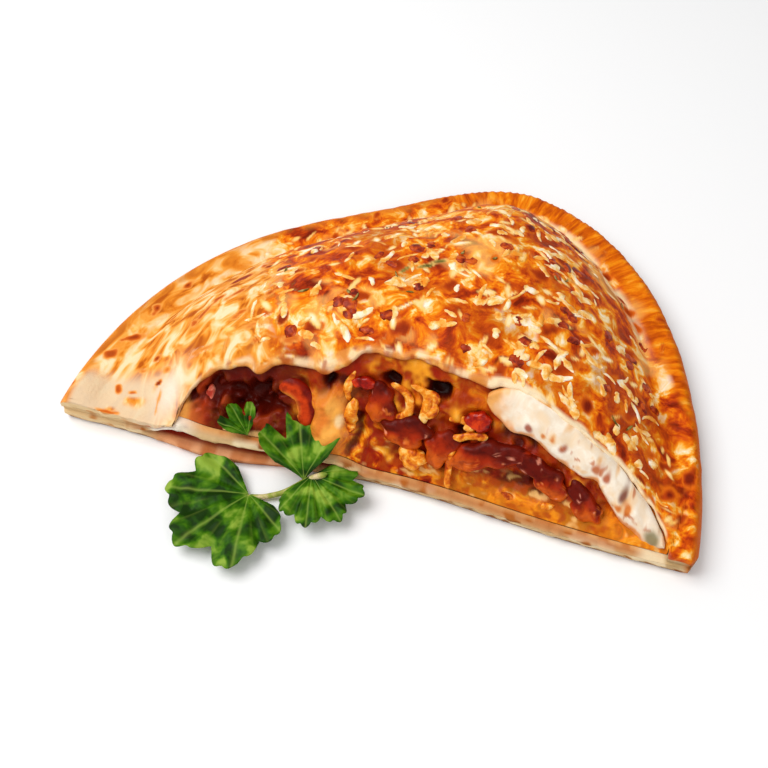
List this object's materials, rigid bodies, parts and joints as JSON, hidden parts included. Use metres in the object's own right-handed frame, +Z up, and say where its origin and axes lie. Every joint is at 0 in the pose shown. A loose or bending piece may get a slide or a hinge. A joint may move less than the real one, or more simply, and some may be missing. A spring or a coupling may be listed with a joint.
{
  "type": "calzone",
  "caption": "Baked half-moon calzone, torn open along its straight side to show a red filling, with parsley in front.",
  "frame": {"origin": "on the table under the middle of the whole food's box; the crust's flat underside is at Z = 0 there", "axes": "+X runs along the straight open side from the pale left tip to the browned right tip, +Y from the open side to the crimped curved edge, +Z up"},
  "size_m": [0.2428, 0.2002, 0.049],
  "materials": {
    "baked_dough": "golden baked crust with darker spots, a paler left end and melted cheese, half matt",
    "tomato_and_cheese": "soft and wet, orange-red sauce with melted cheese",
    "cured_sausage": "dark red, oily gloss",
    "cooked_tomato": "red, wet gloss",
    "melted_cheese": "amber orange, soft gloss",
    "soft_white_cheese": "cream white with brown specks, soft gloss",
    "ham": "pinkish red, soft sheen",
    "parsley": "fresh green leaf, half matt"
  },
  "bodies": {
    "root": {"crust": "baked_dough", "filling": "tomato_and_cheese", "sausage_1": "cured_sausage", "sausage_2": "cured_sausage", "sausage_3": "cured_sausage", "sausage_4": "cured_sausage", "sausage_5": "cured_sausage", "sausage_6": "cured_sausage", "tomato_1": "cooked_tomato", "tomato_2": "cooked_tomato", "pepper_ring": "cooked_tomato", "cheese_lump": "melted_cheese", "cheese_band": "soft_white_cheese", "ham_strip": "ham", "parsley_sprig": "parsley", "herb_leaf": "parsley"}
  },
  "joints": []
}
